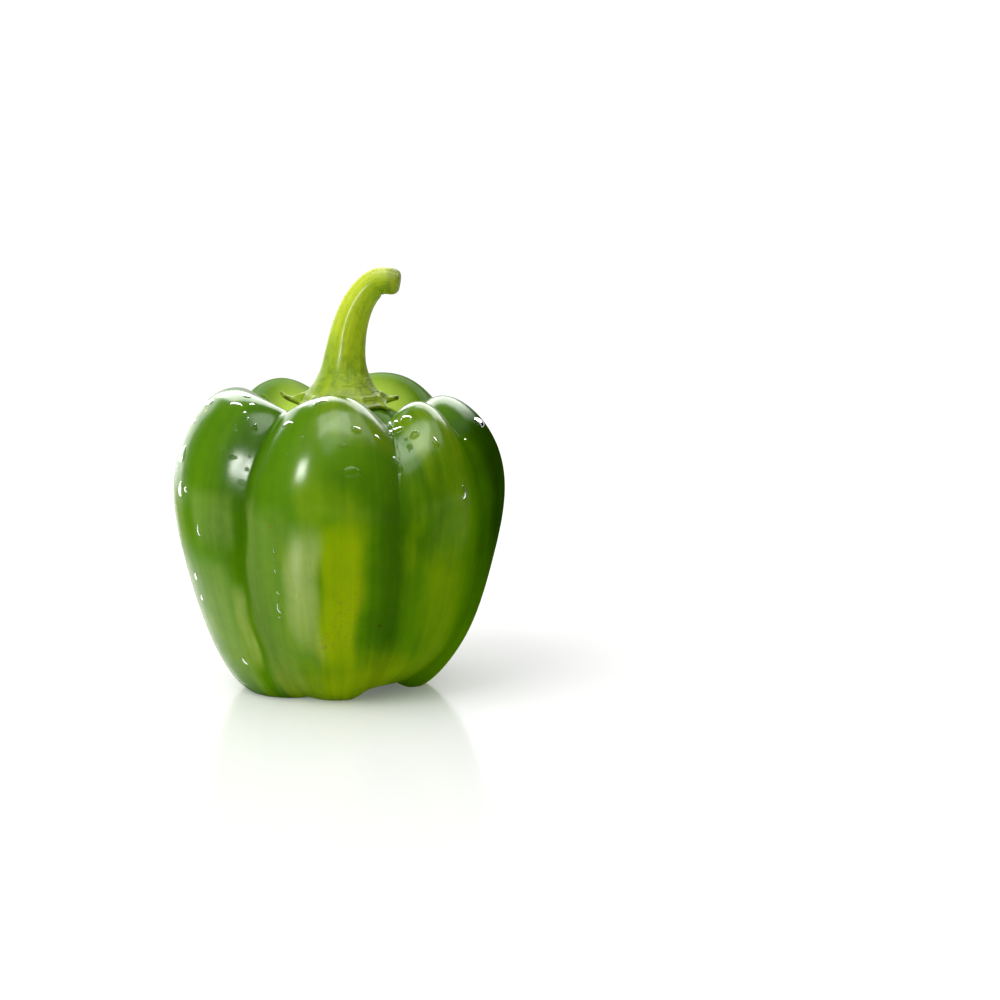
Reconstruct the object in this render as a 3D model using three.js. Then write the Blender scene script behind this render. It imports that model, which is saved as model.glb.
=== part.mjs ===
// A whole, raw green bell pepper that stands on its blossom end.
// Millimetres, +Z up. The origin is on the standing surface, under the middle of the fruit.
// Azimuths are in degrees round +Z: 0 is the front (-Y) and +90 is the right side (+X).
// The skin is a surface of two parameters: an azimuth, and s, which runs from 0 in the middle of
// the stem seat, over the shoulder and down the wall, to 1 in the middle of the blossom scar.
import * as THREE from "three";

const { clamp, degToRad, euclideanModulo, lerp, smootherstep } = THREE.MathUtils;

// Fruit
const FRUIT_RADIUS = 46; // widest reach of a full lobe
const CREST_HEIGHT = 84.8; // top of the highest shoulder
const SEAT_SHIFT = 1.6; // how far the stem seat lies to the right of the middle
const GROOVE_ROUNDING = 2.6; // degrees of azimuth over which the bottom of a groove is rounded
const SHOULDER_FULLNESS = 1.9; // about 2 is a round lobe, more is flatter with a tighter groove
const WALL_FULLNESS = 2.5;
const GROOVE_ARCH = 22; // how far a groove rises off the surface at the foot, per share of depth
const UNEVENNESS = 0.3; // slow hollows and swellings of the wall

// Crest line of a full lobe from the seat to the scar: its radius and its height at even steps of
// s, as shares of the two sizes above. The line is a cubic B-spline over these points.
const LINE_RADIUS = [
  0, 0.13, 0.25, 0.345, 0.405, 0.46, 0.55, 0.69, 0.83, 0.93, 0.985, 1, 0.975, 0.925, 0.87, 0.8, 0.71, 0.615,
  0.53, 0.445, 0.345, 0.23, 0.115, 0,
];
const LINE_HEIGHT = [
  0.93, 0.928, 0.914, 0.89, 0.893, 0.945, 0.992, 0.99, 0.93, 0.84, 0.74, 0.635, 0.525, 0.415, 0.305, 0.2,
  0.115, 0.05, 0.008, -0.016, 0.01, 0.055, 0.086, 0.08,
];

// Grooves, from the back left round the front. azimuths are those at the crest, on the wall and at
// the foot. The depths are shares of the radius, and drop is how far the crest dips in the groove.
const GROOVES = [
  { azimuths: [-118, -114, -110], shoulder: 0.15, wall: 0.06, foot: 0.12, drop: 4.5 },
  { azimuths: [-29, -35, -19.5], shoulder: 0.17, wall: 0.08, foot: 0.05, drop: 5.5 },
  { azimuths: [31.5, 26, 24], shoulder: 0.09, wall: 0.008, foot: 0.03, drop: 7.5 },
  { azimuths: [72, 66, 60], shoulder: 0.09, wall: 0, foot: 0.05, drop: 7 },
  { azimuths: [118, 114, 110], shoulder: 0.15, wall: 0.055, foot: 0.12, drop: 5 },
  { azimuths: [195, 195, 200], shoulder: 0.17, wall: 0.08, foot: 0.13, drop: 6 },
];

// Lobes, each from the groove of its own place in the list to the next one. sink is how far the
// crest stays under the highest, reach is a share of the widest radius, spread is how much further
// out the foot lies, and lift is how far the foot stays off the standing surface.
const LOBES = [
  { sink: 0.6, reach: 0.985, spread: 3, lift: 0 }, // left
  { sink: 0, reach: 0.965, spread: -1, lift: 0 }, // front
  { sink: 3, reach: 0.97, spread: -1.5, lift: 3.2 }, // front right
  { sink: 4, reach: 1.005, spread: 0.5, lift: 0 }, // right
  { sink: 0.4, reach: 0.985, spread: 1, lift: 0 }, // back right
  { sink: 1.5, reach: 0.97, spread: 1.5, lift: 0 }, // back left
];

// Calyx, which lies on the stem seat with a toothed rim
const CALYX_GAP = 0.3; // clear space under it
const CALYX_START_S = 0.072; // where its top leaves the stalk
const CALYX_RIM_S = 0.092; // its rim between the teeth
const CALYX_ROOT = 3.6; // its thickness at the stalk and at the rim
const CALYX_EDGE = 0.9;
const COLLAR_HEIGHT = 0.5; // low raised ring round the stalk's flare
const TOOTH_HALF_WIDTH = 5; // degrees
// length is in s. rise is how far a tip curls up, and bulge thickens the tooth behind its tip.
const TEETH = [
  { azimuth: -100, length: 0.066, rise: 5.2, bulge: 1.8 },
  { azimuth: -45, length: 0.025, rise: 0.4, bulge: 0.4 },
  { azimuth: 30, length: 0.02, rise: 0.8, bulge: 0.6 },
  { azimuth: 70, length: 0.02, rise: 0.3, bulge: 0.4 },
  { azimuth: 115, length: 0.05, rise: 4.2, bulge: 1.4 },
  { azimuth: -165, length: 0.05, rise: 0.8, bulge: 0.6 },
];

// Stalk: points of its middle line from the calyx to the cut end, hooked to the right, and its
// radius there. Both are cubic B-splines.
const STALK_LINE = [
  [1.9, 0, 83.4],
  [2.1, 0.1, 87],
  [2.4, 0.3, 91],
  [2.9, 0.6, 95],
  [3.8, 0.9, 99.5],
  [5.3, 1.1, 104],
  [7.7, 1.2, 108.3],
  [11, 1.1, 111.4],
  [13.2, 0.9, 111.6],
  [15.1, 0.7, 111.3],
];
const STALK_RADII = [8.3, 6.4, 5.6, 5.15, 4.75, 4.4, 4.05, 3.75, 3.65, 3.55];
const RIB_COUNT = 5;
const RIB_AZIMUTH = -15;
const RIB_SHARE = 0.04; // height of a rib as a share of the stalk's radius
// The healed cut end from its edge to its middle: share of the radius, and how far it stands out
const CUT_END = [
  [0.985, 0.6],
  [0.93, 1.2],
  [0.83, 1.75],
  [0.68, 2.1],
  [0.48, 2.2],
  [0.25, 2.05],
];
const CUT_MIDDLE = 2;

const FRUIT_COLUMNS = 72;
const FRUIT_ROWS = 44;
const STEM_COLUMNS = 96;
const STALK_ROWS = 18;
const CALYX_ROWS = 7;

// Value at u (0 to 1) of a uniform cubic B-spline over the controls. Past an end the controls go
// on mirrored, which makes the value level there, or else straight through the end control.
function splineAt(controls, u, level) {
  const last = controls.length - 1;
  const x = clamp(u, 0, 1) * last;
  const first = Math.min(Math.floor(x), last - 1);
  const f = x - first;
  const past = (end, inner) => (level ? inner : 2 * end - inner);
  const run = [past(controls[0], controls[1]), ...controls, past(controls[last], controls[last - 1])];
  const weights = [(1 - f) ** 3, 3 * f ** 3 - 6 * f ** 2 + 4, 1 + 3 * f + 3 * f ** 2 - 3 * f ** 3, f ** 3];
  return weights.reduce((sum, weight, k) => sum + (weight * run[first + k]) / 6, 0);
}

// A smooth hump in s: 0 up to start, 1 at top, and 0 again from end on.
function hump(s, start, top, end) {
  return s < top ? smootherstep(s, start, top) : 1 - smootherstep(s, top, end);
}

function grooveAzimuth({ azimuths: [crest, wall, foot] }, s) {
  return crest + (wall - crest) * smootherstep(s, 0.25, 0.5) + (foot - wall) * smootherstep(s, 0.5, 0.85);
}

// What an azimuth meets at s: the groove it is nearest to, how deep in that groove it lies (0 to
// 1), and a function that eases a measure of the lobes from the middle of each lobe to the next.
function lobesAt(azimuth, s) {
  const edges = GROOVES.map((groove) => grooveAzimuth(groove, s));
  edges.push(edges[0] + 360);
  const turned = edges[0] + euclideanModulo(azimuth - edges[0], 360);
  const index = edges.findLastIndex((edge) => edge <= turned);
  const halfWidth = (k) => (edges[k + 1] - edges[k]) / 2;
  const half = halfWidth(index);
  const across = (turned - edges[index]) / half - 1;
  const side = across < 0 ? -1 : 1;
  const beside = euclideanModulo(index + side, LOBES.length);
  const share = smootherstep((Math.abs(across) * half) / (half + halfWidth(beside)), 0, 1);
  const rounding = GROOVE_ROUNDING / half;
  const fullness = lerp(SHOULDER_FULLNESS, WALL_FULLNESS, smootherstep(s, 0.3, 0.6));
  const depth = Math.abs(across) - rounding * Math.exp((Math.abs(across) - 1) / rounding);
  return {
    groove: GROOVES[side < 0 ? index : (index + 1) % GROOVES.length],
    pinch: Math.max(0, depth) ** fullness,
    measure: (key) => lerp(LOBES[index][key], LOBES[beside][key], share),
  };
}

// A point of the fruit's skin. A foot that would pass the standing surface is pressed flat on it.
function skinPoint(azimuth, s) {
  const { groove, pinch, measure } = lobesAt(azimuth, s);
  const angle = degToRad(azimuth);
  const crestShare = hump(s, 0.07, 0.26, 0.55);
  const footShare = hump(s, 0.6, 0.82, 0.99);
  const depth =
    groove.shoulder * hump(s, 0.16, 0.36, 0.62) +
    groove.wall * hump(s, 0.36, 0.6, 0.86) +
    groove.foot * hump(s, 0.62, 0.82, 0.98);
  const reach = lerp(1, measure("reach"), hump(s, 0.2, 0.45, 0.8));
  const swell = UNEVENNESS * Math.sin(3 * angle + 1) * Math.sin(15 * s + 2 * Math.sin(2 * angle));
  const radius =
    (FRUIT_RADIUS * splineAt(LINE_RADIUS, s, false) * reach + footShare * measure("spread")) *
      (1 - depth * pinch) +
    swell * hump(s, 0.25, 0.5, 0.8);
  const height =
    CREST_HEIGHT * splineAt(LINE_HEIGHT, s, true) -
    crestShare * (measure("sink") + groove.drop * pinch) +
    footShare * (measure("lift") + GROOVE_ARCH * groove.foot * pinch);
  const shift = SEAT_SHIFT * (1 - smootherstep(s, 0.1, 0.4));
  return new THREE.Vector3(
    shift + radius * Math.sin(angle),
    -radius * Math.cos(angle),
    Math.max(0, height),
  );
}

function azimuthsOf(columns) {
  return Array.from({ length: columns }, (_, column) => (360 * column) / columns);
}

// A closed surface from rings of points that run round by growing azimuth, with a pole point above
// the first ring and one below the last.
function closedSurface(topPole, rings, bottomPole) {
  const columns = rings[0].length;
  const points = [topPole, ...rings.flat(), bottomPole];
  const at = (ring, column) => 1 + ring * columns + (column % columns);
  const lastRing = rings.length - 1;
  const faces = [];
  for (let column = 0; column < columns; column += 1) {
    faces.push(0, at(0, column), at(0, column + 1));
    for (let ring = 0; ring < lastRing; ring += 1) {
      faces.push(at(ring, column), at(ring + 1, column), at(ring + 1, column + 1));
      faces.push(at(ring, column), at(ring + 1, column + 1), at(ring, column + 1));
    }
    faces.push(at(lastRing, column), points.length - 1, at(lastRing, column + 1));
  }
  const geometry = new THREE.BufferGeometry().setFromPoints(points);
  geometry.setIndex(faces);
  geometry.computeVertexNormals();
  return geometry;
}

function fruit() {
  const rings = [];
  for (let row = 1; row < FRUIT_ROWS; row += 1) {
    rings.push(azimuthsOf(FRUIT_COLUMNS).map((azimuth) => skinPoint(azimuth, row / FRUIT_ROWS)));
  }
  const skin = new THREE.MeshStandardMaterial({ color: 0x4f8500, roughness: 0.22, metalness: 0 });
  const mesh = new THREE.Mesh(closedSurface(skinPoint(0, 0), rings, skinPoint(0, 1)), skin);
  mesh.name = "fruit";
  return mesh;
}

// How much of each tooth an azimuth meets, summed with the given measure of the teeth.
function teethAt(azimuth, key) {
  return TEETH.reduce((sum, tooth) => {
    const off = euclideanModulo(azimuth - tooth.azimuth + 180, 360) - 180;
    return sum + tooth[key] * Math.exp(-((off / TOOTH_HALF_WIDTH) ** 2));
  }, 0);
}

// A point of the calyx at a share of the way to its rim, 0 to 1: the skin under it, raised by the
// gap, by the tooth's own rise and by the thickness given.
function calyxPoint(azimuth, fromS, share, thickness) {
  const rim = CALYX_RIM_S + teethAt(azimuth, "length");
  const point = skinPoint(azimuth, lerp(fromS, rim, share));
  point.z += CALYX_GAP + teethAt(azimuth, "rise") * share ** 2 + thickness;
  return point;
}

function calyxTopRing(share) {
  const collar = COLLAR_HEIGHT * Math.exp(-(((share - 0.3) / 0.15) ** 2));
  const thickness = CALYX_EDGE + (CALYX_ROOT - CALYX_EDGE) * (1 - share) ** 2 + collar;
  const bulging = share ** 2 - share ** 8;
  return azimuthsOf(STEM_COLUMNS).map((azimuth) =>
    calyxPoint(azimuth, CALYX_START_S, share, thickness + teethAt(azimuth, "bulge") * bulging),
  );
}

function calyxUnderRing(share) {
  return azimuthsOf(STEM_COLUMNS).map((azimuth) => calyxPoint(azimuth, 0, share, 0));
}

function stalkCentre(u) {
  const axis = (k) => splineAt(STALK_LINE.map((point) => point[k]), u, false);
  return new THREE.Vector3(axis(0), axis(1), axis(2));
}

// A ring round the stalk at u, from 0 at the calyx to 1 at the cut end: a share of the stalk's
// radius there, moved on along the stalk.
function stalkRing(u, share, onward) {
  const step = 0.001;
  const along = stalkCentre(u + step).sub(stalkCentre(u - step)).normalize();
  const back = new THREE.Vector3(0, 1, 0).addScaledVector(along, -along.y).normalize();
  const right = new THREE.Vector3().crossVectors(back, along);
  const radius = share * splineAt(STALK_RADII, u, false);
  return azimuthsOf(STEM_COLUMNS).map((azimuth) => {
    const angle = degToRad(azimuth);
    const rib = RIB_SHARE * Math.cos(RIB_COUNT * (angle - degToRad(RIB_AZIMUTH))) * smootherstep(u, 0, 0.25);
    return stalkCentre(u)
      .addScaledVector(along, onward)
      .addScaledVector(right, radius * (1 + rib) * Math.sin(angle))
      .addScaledVector(back, -radius * (1 + rib) * Math.cos(angle));
  });
}

function stem() {
  const rings = CUT_END.toReversed().map(([share, onward]) => stalkRing(1, share, onward));
  for (let row = STALK_ROWS; row >= 0; row -= 1) {
    rings.push(stalkRing(row / STALK_ROWS, 1, 0));
  }
  for (let row = 0; row <= CALYX_ROWS; row += 1) {
    rings.push(calyxTopRing(row / CALYX_ROWS));
  }
  for (let row = CALYX_ROWS; row > 0; row -= 1) {
    rings.push(calyxUnderRing(row / CALYX_ROWS));
  }
  const cutMiddle = stalkRing(1, 0, CUT_MIDDLE)[0];
  const seatMiddle = skinPoint(0, 0);
  seatMiddle.z += CALYX_GAP;
  const green = new THREE.MeshStandardMaterial({ color: 0x86a018, roughness: 0.5, metalness: 0 });
  const mesh = new THREE.Mesh(closedSurface(cutMiddle, rings, seatMiddle), green);
  mesh.name = "stem";
  return mesh;
}

const pepper = new THREE.Group();
pepper.add(fruit(), stem());

export default pepper;
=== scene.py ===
"""Look of a whole raw green bell pepper that stands, still wet from washing, on a white table.

Metres, +Z up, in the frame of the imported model. Azimuths are degrees round +Z: 0 is the front (-Y)
and +90 is the right side (+X). The skin is a surface of two parameters: an azimuth, and s, which
runs from 0 in the middle of the stem seat, over the shoulder and down the wall, to 1 in the middle
of the blossom scar.
"""

from __future__ import annotations

import logging
import math
from dataclasses import astuple, dataclass
from enum import Enum

import bpy
import numpy as np
from mathutils import Matrix, Vector


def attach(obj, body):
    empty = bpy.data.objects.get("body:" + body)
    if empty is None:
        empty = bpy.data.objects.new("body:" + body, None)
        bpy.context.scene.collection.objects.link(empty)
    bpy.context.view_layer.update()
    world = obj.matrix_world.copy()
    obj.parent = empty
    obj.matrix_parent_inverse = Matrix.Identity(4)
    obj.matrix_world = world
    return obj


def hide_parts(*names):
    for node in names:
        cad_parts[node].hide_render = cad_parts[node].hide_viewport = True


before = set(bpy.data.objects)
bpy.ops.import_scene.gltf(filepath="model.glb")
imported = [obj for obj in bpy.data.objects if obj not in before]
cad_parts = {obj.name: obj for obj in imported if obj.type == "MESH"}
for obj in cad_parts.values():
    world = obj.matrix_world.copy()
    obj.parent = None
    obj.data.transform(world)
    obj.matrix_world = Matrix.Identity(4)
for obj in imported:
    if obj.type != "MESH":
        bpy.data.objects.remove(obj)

Array = np.ndarray
Colour = tuple[float, float, float, float]

LOG = logging.getLogger("bell_pepper")
BODY = "root"
MM = 0.001
UNROLLED_RADIUS = 45
UNROLLED_LENGTH = 190


def smoother(x: Array, start: float, end: float) -> Array:
    """Ease from 0 where x is start to 1 where it is end: t cubed times (6 t squared - 15 t + 10)."""
    t = np.clip((x - start) / (end - start), 0.0, 1.0)
    return t * t * t * (t * (6.0 * t - 15.0) + 10.0)


def hump(s: Array, start: float, top: float, end: float) -> Array:
    """Smooth hump along the crest line: 0 up to start, 1 at top, and 0 again from end on."""
    return np.where(s < top, smoother(s, start, top), 1.0 - smoother(s, top, end))


def plateau(x: Array, start: float, end: float, rise: float, fall: float) -> Array:
    """1 from start to end, eased up from 0 over the rise before it and down over the fall after it."""
    return smoother(x, start - rise, start) * (1 - smoother(x, end, end + fall))


def spline(controls: Array, u: Array, level: bool) -> Array:
    """Uniform cubic B-spline: the sum of four neighbouring controls, each times its cubic weight.

    Args:
        controls: Values at even steps of u.
        u: Where to read the curve, 0 to 1.
        level: Whether the ends are mirrored, which makes them level, or else run straight on.

    Returns:
        The curve's values at u.
    """
    last = len(controls) - 1
    before = controls[1] if level else 2 * controls[0] - controls[1]
    after = controls[-2] if level else 2 * controls[-1] - controls[-2]
    run = np.concatenate([[before], controls, [after]])
    x = np.clip(u, 0.0, 1.0) * last
    first = np.minimum(np.floor(x).astype(int), last - 1)
    f = x - first
    weights = ((1 - f) ** 3, 3 * f**3 - 6 * f**2 + 4, 1 + 3 * f + 3 * f**2 - 3 * f**3, f**3)
    return sum(weight * run[first + k] for k, weight in enumerate(weights)) / 6


def bell(x: Array, middle: float, half: float) -> Array:
    """Bell curve: e to the minus square of the distance from the middle over the half width."""
    return np.exp(-(((x - middle) / half) ** 2))


def turn_between(azimuth: Array, other: float | Array) -> Array:
    """Signed turn in degrees from the other azimuth to this one, -180 to 180."""
    return np.mod(azimuth - other + 180.0, 360.0) - 180.0


def facing(azimuth: Array, middle: float | Array, half: float) -> Array:
    """How much places face an azimuth: a bell curve of their turn from it."""
    return bell(turn_between(azimuth, middle), 0.0, half)


def unrolled(azimuth: Array | float, s: Array | float) -> Array:
    """Places on the skin as if it were a plain cylinder of the pod's size, in millimetres."""
    angle = np.radians(azimuth)
    round_axis = UNROLLED_RADIUS * np.sin(angle), -UNROLLED_RADIUS * np.cos(angle)
    return np.stack([*round_axis, UNROLLED_LENGTH * s], -1)


def pole_to_pole(first: Array, rings: Array, last: Array) -> Array:
    """One row a point: the upper pole, the rings' points (ring, column) and the lower pole."""
    return np.concatenate([first, rings.reshape(-1, *rings.shape[2:]), last])


@dataclass(frozen=True)
class Groove:
    """A groove between two lobes.

    The azimuths are those at the crest, on the wall and at the foot. The depths are shares of the
    radius, and drop is how far the crest dips in the groove, in millimetres.
    """

    crest: float
    wall: float
    foot: float
    shoulder_depth: float
    wall_depth: float
    foot_depth: float
    drop: float


@dataclass(frozen=True)
class Lobe:
    """A lobe, from the groove of its own place in the list to the next one.

    sink, spread and lift are millimetres: how far the crest stays under the highest, how much
    further out the foot lies, and how far it stays off the table. reach is a share of the radius.
    """

    sink: float
    reach: float
    spread: float
    lift: float


@dataclass(frozen=True)
class Around:
    """What places on the skin meet: the lobe they lie on, and how deep in a groove they are."""

    groove: Array
    lobe: Array
    pinch: Array


@dataclass(frozen=True)
class PodForm:
    """The closed form of the fruit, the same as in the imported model, in millimetres."""

    radius: float = 46.0
    crest_height: float = 84.8
    seat_shift: float = 1.6
    groove_rounding: float = 2.6
    shoulder_fullness: float = 1.9
    wall_fullness: float = 2.5
    groove_arch: float = 22.0
    unevenness: float = 0.3
    line_radius: tuple[float, ...] = (
        0, 0.13, 0.25, 0.345, 0.405, 0.46, 0.55, 0.69, 0.83, 0.93, 0.985, 1, 0.975, 0.925, 0.87, 0.8,
        0.71, 0.615, 0.53, 0.445, 0.345, 0.23, 0.115, 0,
    )  # fmt: skip
    line_height: tuple[float, ...] = (
        0.93, 0.928, 0.914, 0.89, 0.893, 0.945, 0.992, 0.99, 0.93, 0.84, 0.74, 0.635, 0.525, 0.415,
        0.305, 0.2, 0.115, 0.05, 0.008, -0.016, 0.01, 0.055, 0.086, 0.08,
    )  # fmt: skip
    grooves: tuple[Groove, ...] = (
        Groove(-118, -114, -110, 0.15, 0.06, 0.12, 4.5),
        Groove(-29, -35, -19.5, 0.17, 0.08, 0.05, 5.5),
        Groove(31.5, 26, 24, 0.09, 0.008, 0.03, 7.5),
        Groove(72, 66, 60, 0.09, 0, 0.05, 7),
        Groove(118, 114, 110, 0.15, 0.055, 0.12, 5),
        Groove(195, 195, 200, 0.17, 0.08, 0.13, 6),
    )
    lobes: tuple[Lobe, ...] = (
        Lobe(0.6, 0.985, 3, 0),
        Lobe(0, 0.965, -1, 0),
        Lobe(3, 0.97, -1.5, 3.2),
        Lobe(4, 1.005, 0.5, 0),
        Lobe(0.4, 0.985, 1, 0),
        Lobe(1.5, 0.97, 1.5, 0),
    )

    def edges(self, s: Array) -> Array:
        """Azimuths of the grooves at s, eased from crest to wall to foot.

        Args:
            s: Places along the crest line, of any shape.

        Returns:
            One azimuth a groove in a last axis, and the first one again a full turn on.
        """
        crest, wall, foot = np.array([(g.crest, g.wall, g.foot) for g in self.grooves]).T
        to_wall = smoother(s, 0.25, 0.5)[..., None]
        to_foot = smoother(s, 0.5, 0.85)[..., None]
        run = crest + (wall - crest) * to_wall + (foot - wall) * to_foot
        return np.concatenate([run, run[..., :1] + 360.0], -1)

    def around(self, azimuth: Array, s: Array) -> Around:
        """What each place meets.

        The pinch is the distance from the middle of the lobe, 0 there and 1 at the groove, less a
        short exponential that rounds the groove's bottom, raised to the fullness. The lobe's own
        measures ease from the middle of each lobe to the middle of the next.

        Args:
            azimuth: Azimuths of the places.
            s: Their places along the crest line.

        Returns:
            The groove and lobe measures, one row a place, and the pinch.
        """
        edges = self.edges(s)
        turned = edges[..., 0] + np.mod(azimuth - edges[..., 0], 360.0)
        index = (edges[..., :-1] <= turned[..., None]).sum(-1) - 1
        halves = np.diff(edges, axis=-1) / 2
        half = np.take_along_axis(halves, index[..., None], -1)[..., 0]
        across = (turned - np.take_along_axis(edges, index[..., None], -1)[..., 0]) / half - 1
        side = np.where(across < 0, -1, 1)
        beside = np.mod(index + side, len(self.lobes))
        half_beside = np.take_along_axis(halves, beside[..., None], -1)[..., 0]
        share = smoother(np.abs(across) * half / (half + half_beside), 0.0, 1.0)[..., None]
        lobes = np.array([astuple(lobe) for lobe in self.lobes], float)
        grooves = np.array([astuple(groove) for groove in self.grooves], float)
        rounding = self.groove_rounding / half
        fuller = self.wall_fullness - self.shoulder_fullness
        fullness = self.shoulder_fullness + fuller * smoother(s, 0.3, 0.6)
        depth = np.abs(across) - rounding * np.exp((np.abs(across) - 1) / rounding)
        return Around(
            groove=grooves[np.where(side < 0, index, np.mod(index + 1, len(self.grooves)))],
            lobe=lobes[index] + (lobes[beside] - lobes[index]) * share,
            pinch=np.maximum(0.0, depth) ** fullness,
        )

    def skin(self, azimuth: Array, s: Array) -> Array:
        """Points of the skin: the crest line turned round the axis, cut in by the grooves.

        The radius is the crest line's, times the lobe's reach, less the groove's depth times the
        pinch. The height is the crest line's, less the lobe's sink and the groove's drop at the
        shoulder, plus its lift and the groove's arch at the foot. No point lies under the table.

        Args:
            azimuth: Azimuths of the points.
            s: Their places along the crest line.

        Returns:
            The points in metres, x, y and z in a last axis.
        """
        azimuth, s = np.broadcast_arrays(np.asarray(azimuth, float), np.asarray(s, float))
        around = self.around(azimuth, s)
        sink, reach, spread, lift = np.moveaxis(around.lobe, -1, 0)
        shoulder, wall, foot, drop = np.moveaxis(around.groove[..., 3:], -1, 0)
        angle = np.radians(azimuth)
        crest_share = hump(s, 0.07, 0.26, 0.55)
        foot_share = hump(s, 0.6, 0.82, 0.99)
        depth = (
            shoulder * hump(s, 0.16, 0.36, 0.62)
            + wall * hump(s, 0.36, 0.6, 0.86)
            + foot * hump(s, 0.62, 0.82, 0.98)
        )
        line = self.radius * spline(np.array(self.line_radius), s, False)
        swell = self.unevenness * np.sin(3 * angle + 1) * np.sin(15 * s + 2 * np.sin(2 * angle))
        wide = line * (1 + (reach - 1) * hump(s, 0.2, 0.45, 0.8)) + foot_share * spread
        radius = wide * (1 - depth * around.pinch) + swell * hump(s, 0.25, 0.5, 0.8)
        height = (
            self.crest_height * spline(np.array(self.line_height), s, True)
            - crest_share * (sink + drop * around.pinch)
            + foot_share * (lift + self.groove_arch * foot * around.pinch)
        )
        shift = self.seat_shift * (1 - smoother(s, 0.1, 0.4))
        flat = (shift + radius * np.sin(angle), -radius * np.cos(angle), np.maximum(0.0, height))
        return np.stack(flat, -1) * MM

    def axes(self, azimuth: Array, s: Array) -> tuple[Array, Array, Array]:
        """The skin's own directions at places on it, from points a small step apart.

        Args:
            azimuth: Azimuths of the places.
            s: Their places along the crest line.

        Returns:
            Metres moved per degree of azimuth, metres moved per unit of s, and the outward normal.
        """
        turn, step = 0.05, 0.0005
        east = (self.skin(azimuth + turn, s) - self.skin(azimuth - turn, s)) / (2 * turn)
        down = (self.skin(azimuth, s + step) - self.skin(azimuth, s - step)) / (2 * step)
        normal = np.cross(down, east)
        return east, down, normal / np.linalg.norm(normal, axis=-1, keepdims=True)


@dataclass(frozen=True)
class RingSurface:
    """A closed surface from rings of points between two poles, with values for its material.

    rings is (ring, column, 3), run round by growing azimuth, from the upper pole to the lower one.
    values holds for each name one number or one vector a point: the upper pole, the rings in order
    and the lower pole.
    """

    top: Array
    rings: Array
    bottom: Array
    values: dict[str, Array]
    flat_underside: bool = False

    def faces(self) -> tuple[Array, Array]:
        """Corner numbers of the faces, which are fans at the poles and quads between the rings.

        Returns:
            The fans' triangles and the quads, one row a face, facing outwards.
        """
        count, columns = self.rings.shape[:2]
        number = 1 + np.arange(count * columns).reshape(count, columns)
        beside = np.roll(number, -1, 1)
        quads = np.stack([number[:-1], number[1:], beside[1:], beside[:-1]], -1).reshape(-1, 4)
        pole = np.zeros(columns, int)
        upper = np.stack([pole, number[0], beside[0]], -1)
        lower = np.stack([number[-1], pole + 1 + count * columns, beside[-1]], -1)
        return np.concatenate([upper, lower]), quads

    def points(self) -> Array:
        """All points in the order of the values, one row a point."""
        return pole_to_pole(self.top[None], self.rings, self.bottom[None])


def join_surfaces(name: str, surfaces: list[RingSurface]) -> bpy.types.Object:
    """Puts closed surfaces into one mesh object at the origin, with their values as attributes.

    Args:
        name: The object's name.
        surfaces: The surfaces, all with values of the same names.

    Returns:
        The object, smooth shaded, in the scene.
    """
    points, triangles, quads, smooth, start = [], [], [], [], 0
    for surface in surfaces:
        part = surface.points()
        fans, walls = surface.faces()
        points.append(part)
        triangles.append(fans + start)
        quads.append(walls + start)
        smooth.append((np.arange(len(fans)) < len(fans) // 2) | (not surface.flat_underside))
        start += len(part)
    fans, walls = np.concatenate(triangles), np.concatenate(quads)
    mesh = bpy.data.meshes.new(name)
    mesh.vertices.add(start)
    mesh.vertices.foreach_set("co", np.concatenate(points).astype(np.float32).ravel())
    mesh.loops.add(fans.size + walls.size)
    mesh.loops.foreach_set("vertex_index", np.concatenate([fans.ravel(), walls.ravel()]).astype(np.int32))
    mesh.polygons.add(len(fans) + len(walls))
    starts = np.concatenate([np.arange(len(fans)) * 3, fans.size + np.arange(len(walls)) * 4])
    mesh.polygons.foreach_set("loop_start", starts.astype(np.int32))
    mesh.polygons.foreach_set("use_smooth", np.concatenate([*smooth, np.ones(len(walls), bool)]))
    for key in surfaces[0].values:
        value = np.concatenate([surface.values[key] for surface in surfaces]).astype(np.float32)
        kind, slot = ("FLOAT_VECTOR", "vector") if value.ndim == 2 else ("FLOAT", "value")
        mesh.attributes.new(key, kind, "POINT").data.foreach_set(slot, value.ravel())
    mesh.update(calc_edges=True)
    mesh.validate()
    obj = bpy.data.objects.new(name, mesh)
    bpy.context.scene.collection.objects.link(obj)
    return obj


class Value:
    """A number in a shader. Each operator on it adds a Math node."""

    def __init__(self, shader: Shader, socket: bpy.types.NodeSocket) -> None:
        """Wraps an output socket of the shader."""
        self.shader = shader
        self.socket = socket

    def _math(self, operation: str, first: Value | float, second: Value | float) -> Value:
        """Adds one Math node and wraps its result."""
        return self.shader.read("ShaderNodeMath", {"operation": operation}, {0: first, 1: second})

    def __add__(self, other: Value | float) -> Value:
        """This plus the other."""
        return self._math("ADD", self, other)

    __radd__ = __add__

    def __sub__(self, other: Value | float) -> Value:
        """This less the other."""
        return self._math("SUBTRACT", self, other)

    def __rsub__(self, other: Value | float) -> Value:
        """The other less this."""
        return self._math("SUBTRACT", other, self)

    def __mul__(self, other: Value | float) -> Value:
        """This times the other."""
        return self._math("MULTIPLY", self, other)

    __rmul__ = __mul__


Setting = str | bool | float | tuple
Scale = tuple[float, float, float]
Input = Value | float | Colour | Scale


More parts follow.
